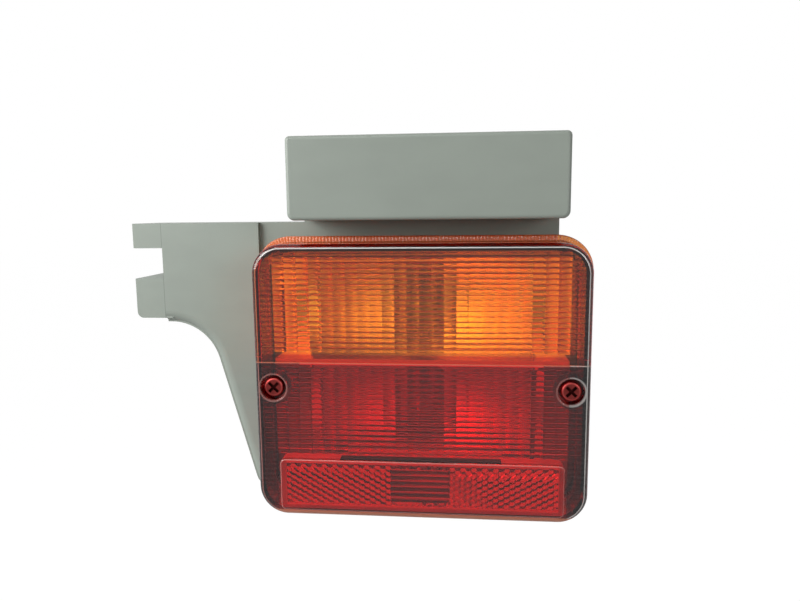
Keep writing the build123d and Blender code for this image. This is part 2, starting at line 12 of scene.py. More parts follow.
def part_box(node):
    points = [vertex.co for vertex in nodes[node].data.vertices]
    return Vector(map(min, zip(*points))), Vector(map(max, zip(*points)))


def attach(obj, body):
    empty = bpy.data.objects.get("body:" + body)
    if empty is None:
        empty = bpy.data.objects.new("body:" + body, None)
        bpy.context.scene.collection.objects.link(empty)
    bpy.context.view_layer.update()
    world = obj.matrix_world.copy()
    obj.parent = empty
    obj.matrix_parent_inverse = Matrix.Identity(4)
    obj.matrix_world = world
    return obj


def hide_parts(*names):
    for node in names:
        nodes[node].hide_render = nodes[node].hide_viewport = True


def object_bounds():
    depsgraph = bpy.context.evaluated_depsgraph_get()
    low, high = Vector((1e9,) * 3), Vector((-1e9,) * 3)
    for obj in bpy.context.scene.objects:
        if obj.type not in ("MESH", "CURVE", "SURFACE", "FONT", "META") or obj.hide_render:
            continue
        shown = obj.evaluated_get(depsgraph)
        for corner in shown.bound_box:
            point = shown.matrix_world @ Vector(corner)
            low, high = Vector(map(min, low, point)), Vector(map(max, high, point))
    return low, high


bl_info = {
    "name": "Rear lamp cluster",
    "version": (1, 0, 0),
    "blender": (4, 5, 0),
    "location": "3D View > Sidebar > Lamp",
    "description": "Fluted lens, finishes and a plain studio for the packed rear lamp",
    "category": "Object",
}

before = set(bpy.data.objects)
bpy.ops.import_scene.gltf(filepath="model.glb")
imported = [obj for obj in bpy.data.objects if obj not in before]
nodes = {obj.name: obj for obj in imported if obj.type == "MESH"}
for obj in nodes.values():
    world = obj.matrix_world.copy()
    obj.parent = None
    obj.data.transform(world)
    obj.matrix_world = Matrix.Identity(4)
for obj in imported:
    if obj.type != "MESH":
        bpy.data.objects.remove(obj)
cad_low, cad_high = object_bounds()
amber_low, amber_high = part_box("amber_lens")
red_low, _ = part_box("red_lens")
body_low, body_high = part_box("lamp_body")
screw_low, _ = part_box("lens_screws")

# The lens's own place: X and Z from its middle, and Y back from the end of its skirt
MM = 0.001
lens_place = Vector(((amber_low.x + amber_high.x) / 2, amber_high.y, (red_low.z + amber_high.z) / 2))

# Points across a pillow, across a rib and round the reflex strip
PILLOW_STEPS = 8
RIB_STEPS = 6
STRIP_STEPS = 360

# Lens, in millimetres at its own place
LIP_EDGE = 0.6
SKIRT_ROOT = 0.3
WELD_GAP = 0.01
STEP = 0.02
OVERREACH = 1.5
PLUG_BACK = 4.0
PRISM_BACK = 8.0
CUTTER_HALF = 50
MARGIN_WIDTH = 4.3
MARGIN_GROOVE = 0.8
BAND_ABOVE = 3.4
BAND_BELOW = 1.6
AMBER_HIGH = 41.8
RED_LOW = -23.6
WINDOW_HALF = 9.5
STRIP_HALF_X = 45.5
STRIP_HALF_Z = 8.6
STRIP_Z = -33.7
STRIP_CORNER = 1.6
STRIP_ROUND = 0.48
STRIP_RISE = 0.6
STRIP_BORDER = 1.5
# The painted highlight round the strip lies this far in from its edge
STRIP_LINE_INSET = 0.2
FIELD_LOW = -41.2
FIELD_HIGH = -26.2
REFLEX_LOW = -39.2
REFLEX_HIGH = -28.2
CUBE_ROOT = 0.1
CUBE_BASE = 1.0
WELL_DEPTH = 3.6
WELL_FLOOR = 2.0
WELL_WALL = 1.5
WELL_HOLE = 2.3
WELL_PAST = 1.0
WELL_RIM = ((1.2, -0.8), (0.4, 0.0), (0.1, 0.15), (0.0, 0.45))

# Where the finishes change, in metres; those of the lens from its own place
# Reach of the lens's painted margin shade, which also bounds its painted highlights and glow
OPTIC_HALF = 0.0464
MARGIN_TOP = 0.0404
MARGIN_FOOT = -0.0425
MARGIN_RIB = 0.0016
MARGIN_BACK = 0.003
WELD_BAND = 0.0026
# How far the painted highlights and the flange's partly painted glow reach on the lens
FRONT_REACH = 0.0012
FLANGE_EASE = 0.0002
WELL_EASE = 0.0003
# Widths of the painted highlight lines on the lens's rims, wells and weld
EDGE_LINE = (0.00011, 0.00022)
WELL_LINE = (0.0002, 0.0004)
WELD_LINE = (0.0001, 0.00025)
# The painted shadow line of the step where the fork's prongs leave the arm
FORK_SHADOW_LINE = (0.0001, 0.00028)
FORK_ROOT = -0.0928
# Where the screws' painted recess shade and painted head highlight lie
RECESS_SHADE = 0.0003
RECESS_REACH = 0.0022
HEAD_EDGE = 0.0027
HEAD_LINE = (0.0001, 0.0004)
# Where the front of the reflex shade is dark: its own dark moulding and a painted shadow of the slot
SHADE_LOW = -0.0258
SHADE_HALF = 0.0259
SHADE_BACK = -0.0095
EAR_START = 0.0366
BOWL_HALF = 0.0386
BOWL_BACK = body_high.y - 0.001
BOWL_LOW = lens_place.z - 0.0361
BOWL_HIGH = lens_place.z + 0.0386
TRAY_BRIGHT = lens_place.y + 0.0031
TRAY_HALF_X = 0.0507
TRAY_HALF_Z = 0.0413
TRAY_CORNER = 0.0072

# How much of the tray's coat is left below the weld, how far round the front's rounding the painted
# highlight of its rim lies, and how much each painted highlight and painted glow on the lens shows
TRAY_DULL = 0.16
RIM_TURN = 0.65
RIM_SHOWS = 0.35
GLINT_SHOWS = 0.3
STRIP_SHOWS = 0.42
WELL_SHOWS = 0.28
WELD_SHOWS = 0.35
FLANGE_SHOWS = 0.55
FOOT_SHOWS = 0.5

# Tones of places on the lens and the tray: each lens's margin tone is painted shade, its edge tone and
# the rim's pale tone are painted highlights, the foot's tone is painted glow, and its flange tone is partly
# the matt ribs' own colour and partly painted glow
WELD_STAIN = (0.74, 0.26, 0.30)
PAINTED_RIM_HIGHLIGHT = (0.95, 0.90, 0.86)
PAINTED_FOOT_GLOW = (0.85, 0.30, 0.16)
TRAY_WARM = (0.98, 0.60, 0.40)
AMBER_TONES = {"margin": (0.36, 0.28, 0.28), "edge": (0.80, 0.30, 0.12), "flange": (0.66, 0.19, 0.07)}
RED_TONES = {"margin": (0.20, 0.15, 0.15), "edge": (0.75, 0.32, 0.28), "flange": (0.45, 0.06, 0.05)}
WHITE = (1.0, 1.0, 1.0, 1.0)

# The thickness of plastic that its colours are given for, and the spans of noise for clouds and tarnish
TINT_DEPTH = 0.004
CLOUD = (0.3, 0.7)
TARNISH = (0.4, 0.75)

# The camera in millimetres from the lens's place, and the softboxes: the brightness of each, its azimuth to
# the right and its elevation in degrees, and its distance and size in metres
CAMERA_PLACE = (13.26, -212.85, 54.12)
SOFTBOXES = {
    "softbox_left": ("key", -60, 24, 0.5, (0.40, 0.32)),
    "softbox_right": ("fill", 45, 16, 0.5, (0.15, 0.15)),
    "softbox_top": ("top", -25, 52, 0.45, (0.34, 0.06)),
}
FLOOR_HALF = 6.0
FLOOR_GREY = (0.8, 0.8, 0.8, 1.0)
FLOOR_SEEN = 0.9
FLOOR_GLOW = 1.09
FLOOR_FADE = (-0.3, 0.0, 0.4, 1.0)
MIRRORED = 0.8

# Spans of direction over which the surroundings brighten: behind, and at the room's top, sides and back
BACK_SPAN = (0.1, 0.7)
ROOM_TOP = (0.1, 0.3)
ROOM_SIDES = (0.35, 0.6)
ROOM_BACK = (-0.3, 0.1)


def length(name, about, default):
    """A size that a user may change, in metres."""
    return bpy.props.FloatProperty(name=name, description=about, default=default, precision=5,
                                   unit="LENGTH", subtype="DISTANCE")


def angle(name, about, default):
    """An angle that a user may change, given here in degrees."""
    return bpy.props.FloatProperty(name=name, description=about, default=radians(default), subtype="ANGLE")


def amount(name, about, default):
    """A plain number that isn't below 0."""
    return bpy.props.FloatProperty(name=name, description=about, default=default, min=0.0)


def colour(name, about, default):
    """A colour that a user may change, in linear red, green and blue."""
    return bpy.props.FloatVectorProperty(name=name, description=about, default=default, subtype="COLOR",
                                         size=3, min=0.0, max=1.0)


class LampSizes(bpy.types.PropertyGroup):
    """Sizes of the clear lens."""
    width: length("Width", "Lens over its flange", amber_high.x - amber_low.x)
    height: length("Height", "Lens over its flange", amber_high.z - red_low.z)
    depth: length("Depth", "From the flat front to the end of the skirt", amber_high.y - amber_low.y)
    weld: length("Weld", "Height of the line between the colours above the middle",
                 amber_low.z - lens_place.z)
    corner: length("Corner", "Radius of the flange's corners", 0.0115)
    lip: length("Flange lip", "How far the flange stands out from the skirt", 0.002)
    flange: length("Flange thickness", "Thickness of the flange", 0.0025)
    wall: length("Side wall", "Thickness of the skirt", 0.0022)
    front: length("Front wall", "Thickness of the front", 0.002)
    front_round: length("Front rounding", "Radius of the front's outer edge", 0.002)
    flute_pitch: length("Flute pitch", "From one level flute to the next", 0.0017)
    flute_slope: angle("Flute slope", "Steepest slope of a flute", 50.0)
    column_pitch: length("Column pitch", "From one upright column of pillows to the next", 0.003875)
    column_slope: angle("Column slope", "Steepest sideways slope of a pillow", 25.0)
    rib_pitch: length("Rib pitch", "From one rib inside the skirt to the next", 0.0011)
    rib_rise: length("Rib height", "Height of the ribs inside the skirt", 0.00016)
    well_x: length("Well distance", "From the middle to a screw well", 0.04705)
    well_z: length("Well height", "Height of the wells above the middle", -0.00145)
    well_radius: length("Well radius", "Radius of the screw wells", 0.00415)
    prism_pitch: length("Prism pitch", "From one reflex prism to the next", 0.0020)


class LampColours(bpy.types.PropertyGroup):
    """Colours of the finishes."""
    carrier: colour("Carrier", "Grey-green moulding", (0.276, 0.310, 0.272))
    amber: colour("Amber", "What 4 mm of the amber plastic lets through", (0.98, 0.40, 0.03))
    red: colour("Red", "What 4 mm of the red plastic lets through", (0.75, 0.003, 0.003))
    body: colour("Lamp body", "Black moulding", (0.012, 0.012, 0.012))
    metallised: colour("Metallised", "Bright coat inside the lamp", (0.93, 0.92, 0.90))
    rubber: colour("Rubber", "Gasket and washers", (0.008, 0.008, 0.008))
    foam: colour("Foam", "Seal pad", (0.03, 0.03, 0.032))
    brass: colour("Brass", "Contacts and caps", (0.78, 0.58, 0.25))
    steel: colour("Plated steel", "Strap, rivets and the screws at the back", (0.62, 0.61, 0.57))
    socket: colour("Sockets", "Dulled plating of the bulb sockets", (0.17, 0.13, 0.105))
    # The screws' plating is dark of its own; its red tint is a painted reflection of the red lens round
    # them
    screw: colour("Screws", "Dark plating of the screws in the lens", (0.14, 0.022, 0.02))
    smoke: colour("Bulb film", "What each surface of the used bulbs lets through", (0.85, 0.78, 0.71))
    board: colour("Insulating board", "Pressed board in the sockets", (0.22, 0.11, 0.05))
    backing: colour("Reflex backing", "Cover behind the reflex strip", (0.66, 0.59, 0.57))


class LampStage(bpy.types.PropertyGroup):
    """Light and camera of the plain studio."""
    world: amount("World", "Strength of the even light", 0.09)
    back: amount("Back", "Strength of the even light from behind", 0.5)
    slant: amount("Slant", "How much brighter the even light is at the left", 0.35)
    room: amount("Room", "Brightness straight ahead, as the dishes mirror it", 0.38)
    key: amount("Key", "Brightness of the softbox at the left", 7.2)
    fill: amount("Fill", "Brightness of the small softbox at the right", 5.6)
    top: amount("Top", "Brightness of the long softbox above", 6.0)
    drop: length("Floor drop", "From the lowest point of the lamp to the floor", 0.30)
    focal: amount("Focal length", "In millimetres on a sensor 36 mm wide", 29.25)
    yaw: angle("Yaw", "Camera turned to the right", -5.48)
    pitch: angle("Pitch", "Camera tipped up", -7.753)
    roll: angle("Roll", "Camera rolled", -0.574)


def in_millimetres(sizes):
    """The lens's lengths in millimetres and slopes in radians, and the depths of the front's two faces."""
    lens = SimpleNamespace()
    for prop in sizes.bl_rna.properties:
        if prop.subtype in ("DISTANCE", "ANGLE"):
            scale = MM if prop.subtype == "DISTANCE" else 1.0
            setattr(lens, prop.identifier, getattr(sizes, prop.identifier) / scale)
    lens.face = -lens.depth
    lens.inside = lens.face + lens.front
    return lens


# Meshes

def solid(name, points, faces):
    """A closed mesh object from points in lens millimetres, with its faces turned outwards."""
    mesh = bpy.data.meshes.new(name)
    placed = np.asarray(points, float).reshape(-1, 3) * MM + np.array(lens_place)
    mesh.from_pydata(placed.tolist(), [], faces)
    work = bmesh.new()
    work.from_mesh(mesh)
    bmesh.ops.recalc_face_normals(work, faces=work.faces)
    work.to_mesh(mesh)
    work.free()
    piece = bpy.data.objects.new(name, mesh)
    bpy.context.scene.collection.objects.link(piece)
    return piece


def lofted(name, rings):
    """Rings of equal count carried one to the next as quads, with a flat cap on the first and the last."""
    count, around, _ = rings.shape
    i = np.arange(count - 1)[:, None] * around
    j = np.arange(around)[None, :]
    k = (j + 1) % around
    quads = np.stack([i + j, i + k, i + around + k, i + around + j], -1).reshape(-1, 4).tolist()
    last = (count - 1) * around
    caps = [list(range(around)), list(range(last, last + around))]
    return solid(name, rings, quads + caps)


def backed(name, front, index, faces, back):
    """A closed block under a grid of points: upright sides from the grid's rim down to a flat back."""
    rim = np.concatenate([index[0, :-1], index[:-1, -1], index[-1, :0:-1], index[:0:-1, 0]])
    foot = front[rim].copy()
    foot[:, 1] = back
    base = index.size + np.arange(len(rim))
    sides = np.stack([rim, np.roll(rim, -1), np.roll(base, -1), base], -1).tolist()
    return solid(name, np.concatenate([front, foot]), faces + sides + [base.tolist()])


def relief_block(name, xs, zs, relief, back):
    """A block whose front is the height field relief[z, x]."""
    grid_x, grid_z = np.meshgrid(xs, zs)
    front = np.stack([grid_x, relief, grid_z], -1).reshape(-1, 3)
    index = np.arange(relief.size).reshape(relief.shape)
    quads = np.stack([index[:-1, :-1], index[:-1, 1:], index[1:, 1:], index[1:, :-1]], -1)
    return backed(name, front, index, quads.reshape(-1, 4).tolist(), back)


def block(name, low, high):
    """A plain box between two corners."""
    xs, ys, zs = zip(low, high)
    ring = np.array([[xs[0], 0, zs[0]], [xs[1], 0, zs[0]], [xs[1], 0, zs[1]], [xs[0], 0, zs[1]]], float)
    return lofted(name, np.stack([ring + np.array([0, y, 0]) for y in ys]))


def turned(name, profile, x, z, steps=72):
    """A solid of revolution about a line along Y: each point of the profile is (radius, depth)."""
    turn = np.linspace(0, 2 * pi, steps, endpoint=False)
    radius, depth = np.asarray(profile, float).T
    deep = np.broadcast_to(depth[:, None], (len(depth), steps))
    rings = np.stack([x + radius[:, None] * np.cos(turn), deep, z + radius[:, None] * np.sin(turn)], -1)
    return lofted(name, rings)


def rounded_path(half_x, half_z, corner, steps):
    """Evenly spaced points and outward normals round a rectangle whose corners are quarter circles."""
    long_x, long_z, arc = 2 * (half_x - corner), 2 * (half_z - corner), pi * corner / 2
    starts = np.cumsum([0, long_z, arc, long_x, arc, long_z, arc, long_x, arc])
    along = np.linspace(0, starts[-1], steps, endpoint=False)
    side = np.searchsorted(starts, along, side="right") - 1
    quarter = side // 2
    local = along - starts[side]
    straight = side % 2 == 0
    turn = quarter * pi / 2 + np.where(straight, 0, local / corner)
    normal = np.stack([np.cos(turn), np.sin(turn)], -1)
    centre = np.array([[1, 1], [-1, 1], [-1, -1], [1, -1]])[quarter] * [half_x - corner, half_z - corner]
    ahead = np.stack([-np.sin(quarter * pi / 2), np.cos(quarter * pi / 2)], -1)
    run = np.where(quarter % 2 == 0, long_z, long_x)
    back = np.where(straight, local - run, 0)[:, None] * ahead
    return centre + normal * corner + back, normal


def ribbed_path(half_x, half_z, corner, pitch):
    """A rounded path with round ribs along it: 0 on a crest and 1 in the sharp root between two."""
    ribs = round((4 * (half_x + half_z) - (8 - 2 * pi) * corner) / pitch)
    steps = ribs * RIB_STEPS
    path, normal = rounded_path(half_x, half_z, corner, steps)
    return path, normal, 1 - np.abs(np.sin(pi * np.arange(steps) / RIB_STEPS))


def swept(name, path, normal, profile, sink=0.0):
    """A profile of (inset, depth) points carried round a closed path, moved in along the path's normals
    and back by what sinks at each place."""
    inset, depth = np.asarray(profile, float).T
    flat = path[None] - inset[:, None, None] * normal[None]
    deep = depth[:, None] + np.broadcast_to(sink, flat.shape[:2])
    return lofted(name, np.stack([flat[..., 0], deep, flat[..., 1]], -1))


def arc_points(middle, radius, start, end, steps=8):
    """Points of an arc as (inset, depth), from one angle to another."""
    turn = np.radians(np.linspace(start, end, steps + 1))
    return np.stack([middle[0] + radius * np.cos(turn), middle[1] + radius * np.sin(turn)], -1)


def arc_height(offset, half, slope):
    """Height of a round bar above its edges: a circle's arc that has the given slope at its two ends."""
    radius = half / sin(slope)
    return np.sqrt(np.maximum(radius ** 2 - offset ** 2, 0)) - radius * cos(slope)


def cells(low, high, pitch, steps):
    """Points across a row of equal cells, their offsets from the cells' middles, and half a cell."""
    count = max(1, round((high - low) / pitch))
    half = (high - low) / count / 2
    points = np.linspace(low, high, count * steps + 1)
    phase = (points - low) / (2 * half)
    offset = (phase - np.floor(np.minimum(phase, count - 1e-6)) - 0.5) * 2 * half
    return points, offset, half


def carve(piece, tool, operation):
    """Joins, cuts or keeps what the two closed meshes share, and takes the tool away."""
    cut = piece.modifiers.new("carve", "BOOLEAN")
    cut.operation = operation
    cut.solver = "MANIFOLD"
    cut.object = tool
    graph = bpy.context.evaluated_depsgraph_get()
    made = bpy.data.meshes.new_from_object(piece.evaluated_get(graph))
    piece.modifiers.clear()
    spare = (piece.data, tool.data)
    piece.data = made
    bpy.data.objects.remove(tool)
    for mesh in spare:
        bpy.data.meshes.remove(mesh)
    if not made.polygons:
        raise RuntimeError(f"nothing is left of {piece.name}")


def smooth(piece, limit=30.0):
    """Smooth shading that keeps edges sharper than the limit and large faces flat."""
    piece.data.shade_smooth()
    piece.data.set_sharp_from_angle(angle=radians(limit))
    flat = piece.modifiers.new("flat faces", "WEIGHTED_NORMAL")
    flat.keep_sharp = True


# Finishes

class Value:
    """A number that changes over a surface. Python's operators on it add Math nodes."""

    def __init__(self, finish, socket):
        self.finish = finish
        self.socket = socket

    def math(self, operation, *terms):
        node = self.finish.node("ShaderNodeMath", {"operation": operation}, dict(enumerate(terms)))
        return Value(self.finish, node.outputs[0])

    def __add__(self, other):
        return self.math("ADD", self, other)

    def __radd__(self, other):
        return self.math("ADD", other, self)

    def __sub__(self, other):
        return self.math("SUBTRACT", self, other)

    def __rsub__(self, other):
        return self.math("SUBTRACT", other, self)

    def __mul__(self, other):
        return self.math("MULTIPLY", self, other)

    def __rmul__(self, other):
        return self.math("MULTIPLY", other, self)

    def __gt__(self, other):
        return self.math("GREATER_THAN", self, other)

    def __lt__(self, other):
        return self.math("LESS_THAN", self, other)

    def __abs__(self):
        return self.math("ABSOLUTE", self)

    def larger(self, other):
        return self.math("MAXIMUM", self, other)

    def root(self):
        return self.math("SQRT", self)

    def sine(self):
        return self.math("SINE", self)

    def spread(self, low, high, to_low=0.0, to_high=1.0):
        """The value taken from one span to another, smoothly and held at the ends."""
        node = self.finish.node("ShaderNodeMapRange", {"interpolation_type": "SMOOTHSTEP"},
                                {"Value": self, "From Min": low, "From Max": high,
                                 "To Min": to_low, "To Max": to_high})
        return Value(self.finish, node.outputs[0])

    def line(self, span, shows=1.0):
        """What shows where the value is within the span's first number of 0, fading out at its second."""
        return abs(self).spread(*span, shows, 0.0)


class Finish:
    """The node tree of one material or of the world."""

    def __init__(self, owner):
        owner.use_nodes = True
        self.owner = owner
        self.tree = owner.node_tree
        self.tree.nodes.clear()

    def node(self, kind, settings=None, sockets=None):
        """Adds a node: its settings first, then the values or links of its sockets."""
        made = self.tree.nodes.new(kind)
        for name, value in (settings or {}).items():
            setattr(made, name, value)
        for name, value in (sockets or {}).items():
            if isinstance(value, Value):
                value = value.socket
            if isinstance(value, bpy.types.NodeSocket):
                self.tree.links.new(value, made.inputs[name])
            else:
                made.inputs[name].default_value = value
        return made

    def value(self, node, output=0):
        return Value(self, node.outputs[output])

    def place(self):
        """The three parts of the point on the piece as values, in metres."""
        point = self.node("ShaderNodeTexCoord").outputs["Object"]
        parts = self.node("ShaderNodeSeparateXYZ", None, {0: point})
        return [self.value(parts, i) for i in range(3)]

    def noise(self, size, detail=3.0, stretch=(1.0, 1.0, 1.0), seed=0.0):
        """Cloudy noise whose lumps are about as large as the given size in metres, from 0 to 1."""
        point = self.node("ShaderNodeTexCoord").outputs["Object"]
        moved = self.node("ShaderNodeMapping", None,
                          {"Vector": point, "Location": (seed, seed, seed), "Scale": stretch})
        return self.value(self.node("ShaderNodeTexNoise", None,
                                    {"Vector": moved.outputs[0], "Scale": 1.0 / size, "Detail": detail}))

    def blend(self, factor, first, second):
        """A colour between two colours."""
        node = self.node("ShaderNodeMix", {"data_type": "RGBA"}, {0: factor, 6: first, 7: second})
        return node.outputs[2]

    def bump(self, height, distance):
        """A normal bent by a height, where 1 stands for the distance in metres."""
        return self.node("ShaderNodeBump", None, {"Height": height, "Distance": distance}).outputs[0]

    def skin(self, **sockets):
        """The main shader, with sockets named by words joined with underscores."""
        named = {key.replace("_", " "): value for key, value in sockets.items()}
        return self.node("ShaderNodeBsdfPrincipled", None, named).outputs[0]

    def mix(self, factor, first, second):
        """A shader between two shaders."""
        return self.node("ShaderNodeMixShader", None, {0: factor, 1: first, 2: second}).outputs[0]

    def show(self, shader, inside=None):
        """Ends the material with its surface and, in a clear piece, what fills it."""
        out = self.node("ShaderNodeOutputMaterial", None, {"Surface": shader})
        if inside is not None:
            self.tree.links.new(inside, out.inputs["Volume"])
        return self.owner


def material(name):
    """A new finish, with nothing in it yet."""
    return Finish(bpy.data.materials.new(name))


def rgba(tint, factor=1.0):
    """A colour with its brightness changed, and no transparency."""
    return (*(min(1.0, c * factor) for c in tint), 1.0)


def moulded(name, tint, roughness, grain, depth, variety, painted_shadow_line=None):
    """Moulded plastic: a fine even grain, slow clouding of its colour, a little change of gloss and, where
    one is given, a darker line painted as the shadow of a step."""
    finish = material(name)
    cloud = finish.noise(size=0.018, detail=4.0)
    fine = finish.noise(size=grain, detail=2.0)
    flow = finish.noise(size=0.006, stretch=(0.35, 1.0, 1.0), seed=0.4)
    tone = cloud * 0.6 + flow * 0.4
    base = finish.blend(tone.spread(*CLOUD), rgba(tint, 1 - variety), rgba(tint, 1 + variety))
    if painted_shadow_line:
        # A painted shadow line, darker than the plastic round it
        base = finish.blend(painted_shadow_line(finish), base, rgba(tint, 0.6))
    gloss = roughness - 0.06 + flow * 0.12
    return finish.show(finish.skin(Base_Color=base, Roughness=gloss, Normal=finish.bump(fine, depth)))


def metal(name, tint, roughness, brushed=(1.0, 1.0, 1.0), tarnish=0.25):
    """Bare or plated metal: cloudy tarnish, uneven gloss and fine marks along one direction."""
    finish = material(name)
    cloud = finish.noise(size=0.004, detail=5.0)
    marks = finish.noise(size=0.0006, stretch=brushed, seed=0.7)
    base = finish.blend(cloud.spread(*TARNISH), rgba(tint), rgba(tint, 1 - tarnish))
    gloss = roughness - 0.08 + cloud * 0.1 + marks * 0.06
    return finish.show(finish.skin(Base_Color=base, Roughness=gloss, Metallic=1.0,
                                   Normal=finish.bump(marks, 0.000008)))


def clear(name, tint, roughness=0.015, film=(1.0, 1.0, 1.0), tones=None):
    """Clear plastic or glass whose colour deepens with the way through it: the tint is what 4 mm of it let
    through. Lamps shine straight through its surface, so that what it covers is lit. The film is what each
    surface lets through, and the tones are the painted shade of the lens's margins, the painted highlights
    on its rims and the flange's colour, partly its matt ribs' own and partly painted glow."""
    finish = material(name)
    cloud = finish.noise(size=0.012)
    ripple = finish.noise(size=0.004, detail=2.0, seed=0.3)
    base = finish.blend(cloud.spread(*CLOUD), rgba(film, 0.97), rgba(film))
    if tones:
        base = finish.blend(near_weld(finish), base, rgba(WELD_STAIN))
        # Painted shade: the skirt and the plain margin darkened to the margin tone
        base = finish.blend(margins(finish), base, rgba(tones["margin"]))
    surface = finish.skin(Base_Color=base, Roughness=roughness, IOR=1.49, Transmission_Weight=1.0,
                          Normal=finish.bump(ripple, 0.000006))
    if tones:
        # Painted highlights and glow on the lens, mixed in as a pale matt skin
        where, tone = edges(finish, tones)
        surface = finish.mix(where, surface, finish.skin(Base_Color=tone, Roughness=0.4))
    through = finish.node("ShaderNodeBsdfTransparent", None, {0: WHITE}).outputs[0]
    lit = finish.value(finish.node("ShaderNodeLightPath"), "Is Shadow Ray")
    surface = finish.mix(lit, surface, through)
    loss = [-log(max(c, 0.0001)) / TINT_DEPTH for c in tint]
    density = max(loss)
    if density < 1:
        return finish.show(surface)
    kept = (*(1 - part / density for part in loss), 1.0)
    inside = finish.node("ShaderNodeVolumeAbsorption", None, {"Color": kept, "Density": density})
    return finish.show(surface, inside.outputs[0])


def painted_fork_shadow(finish):
    """1 along the hairline where the fork's prongs leave the arm: a painted shadow of the step there."""
    x, _, _ = finish.place()
    return (x - FORK_ROOT).line(FORK_SHADOW_LINE)


def near_weld(finish):
    """1 on the flat band over the weld, where red plastic lies behind the amber."""
    _, _, z = finish.place()
    return (z > amber_low.z) * (z < amber_low.z + WELD_BAND)


def margins(finish):
    """Painted shade: 1 on the skirt and on the plain margins at the sides and the top, where little light
    comes from behind and the colour is darkened to stand in for it, with the ribs of the sides as a sine
    wave."""
    x, y, z = finish.place()
    ribs = (z * (2 * pi / MARGIN_RIB)).sine()
    side = (abs(x - lens_place.x) > OPTIC_HALF) * (0.75 + ribs * 0.25)
    top = (z > lens_place.z + MARGIN_TOP) * 0.9
    return side.larger(top) * (y < lens_place.y - MARGIN_BACK)


def beyond(across, up, half_x, half_z, corner):
    """How far a point lies outside a rounded rectangle; below 0 inside it."""
    out_x = (abs(across) - (half_x - corner)).larger(0.0)
    out_z = (abs(up) - (half_z - corner)).larger(0.0)
    return (out_x * out_x + out_z * out_z).root() - corner


def from_screw(across, up):
    """How far a point lies from the line through the nearer screw well."""
    sizes = bpy.context.scene.lamp_sizes
    along = abs(across) - sizes.well_x
    above = up - sizes.well_z
    return (along * along + above * above).root()


def edges(finish, tones):
    """Painted highlights: how much pale matt colour is mixed onto the lens where its moulded rims would
    catch
    the light, and that colour: the rims of the front, the strip and the wells and the weld; a painted glow
    on the lower edge; and the matt ribs of the flange in a deeper colour, partly their own and partly
    painted glow."""
    x, y, z = finish.place()
    across = x - lens_place.x
    up = z - lens_place.z
    sizes = bpy.context.scene.lamp_sizes
    inset = sizes.lip + sizes.front_round * RIM_TURN
    rim = beyond(across, up, sizes.width / 2 - inset, sizes.height / 2 - inset, sizes.corner - inset)
    strip_x = (STRIP_HALF_X - STRIP_LINE_INSET) * MM
    strip_z = (STRIP_HALF_Z - STRIP_LINE_INSET) * MM
    strip = beyond(across, up - STRIP_Z * MM, strip_x, strip_z, STRIP_CORNER * MM)
    well = from_screw(across, up) - sizes.well_radius - WELL_EASE
    # The top and right-hand rims get a whiter painted highlight
    painted_highlight_sides = (up > MARGIN_TOP).larger(across > OPTIC_HALF)
    # The lower edge gets a painted glow
    foot = up < MARGIN_FOOT
    flange = y > lens_place.y - sizes.flange - FLANGE_EASE
    on_front = y < lens_place.y - sizes.depth + FRONT_REACH
    tone = finish.blend(painted_highlight_sides, rgba(tones["edge"]), rgba(PAINTED_RIM_HIGHLIGHT))
    tone = finish.blend(flange, tone, rgba(tones["flange"]))
    tone = finish.blend(foot, tone, rgba(PAINTED_FOOT_GLOW))
    # Painted highlight lines on the rims, round the strip, round the wells and along the weld
    lines = rim.line(EDGE_LINE) * (RIM_SHOWS + painted_highlight_sides * GLINT_SHOWS)
    lines = lines.larger(strip.line(EDGE_LINE) * STRIP_SHOWS)
    lines = lines.larger(well.line(WELL_LINE) * WELL_SHOWS)
    lines = lines.larger((z - amber_low.z).line(WELD_LINE, WELD_SHOWS))
    return (lines * on_front).larger(flange * FLANGE_SHOWS).larger(foot * FOOT_SHOWS), tone


def body_finish(name, tint, bright):
    """The lamp body: black outside, and metallised inside the bowl and on the tray's front."""
    finish = material(name)
    x, y, z = finish.place()
    across = x - (body_low.x + body_high.x) / 2
    inside = (abs(across) < BOWL_HALF) * ((z > BOWL_LOW) * (z < BOWL_HIGH)) * (y < BOWL_BACK)
    within = beyond(across, z - lens_place.z, TRAY_HALF_X, TRAY_HALF_Z, TRAY_CORNER) < 0.0
    tray = (y < TRAY_BRIGHT) * within * (TRAY_DULL + (z > amber_low.z) * (1 - TRAY_DULL))
    mask = inside.larger(tray)
    cloud = finish.noise(size=0.01, detail=4.0)
    fine = finish.noise(size=0.0004, detail=2.0)
    dark = finish.blend(cloud.spread(*CLOUD), rgba(tint, 0.8), rgba(tint, 1.4))
    shiny = finish.blend(cloud.spread(*CLOUD), rgba(bright), rgba(bright, 0.9))
    shiny = finish.blend(tray > 0.0, shiny, rgba(TRAY_WARM))
    base = finish.blend(mask, dark, shiny)
    gloss = 0.5 - mask * 0.30 + cloud * 0.08
    return finish.show(finish.skin(Base_Color=base, Roughness=gloss, Metallic=mask,
                                   Normal=finish.bump(fine, 0.00001)))


def dish_finish(name, tint):
    """The metallised dishes: bright and slightly clouded, with dull ears."""
    finish = material(name)
    x, _, _ = finish.place()
    ear = abs(x - lens_place.x) > EAR_START
    cloud = finish.noise(size=0.004, detail=5.0)
    marks = finish.noise(size=0.0006, seed=0.7)
    bright = finish.blend(cloud.spread(*TARNISH), rgba(tint), rgba(tint, 0.94))
    base = finish.blend(ear, bright, rgba(tint, 0.35))
    gloss = 0.17 + cloud * 0.1 + marks * 0.04 + ear * 0.25
    return finish.show(finish.skin(Base_Color=base, Roughness=gloss, Metallic=1.0,
                                   Normal=finish.bump(marks, 0.000003)))


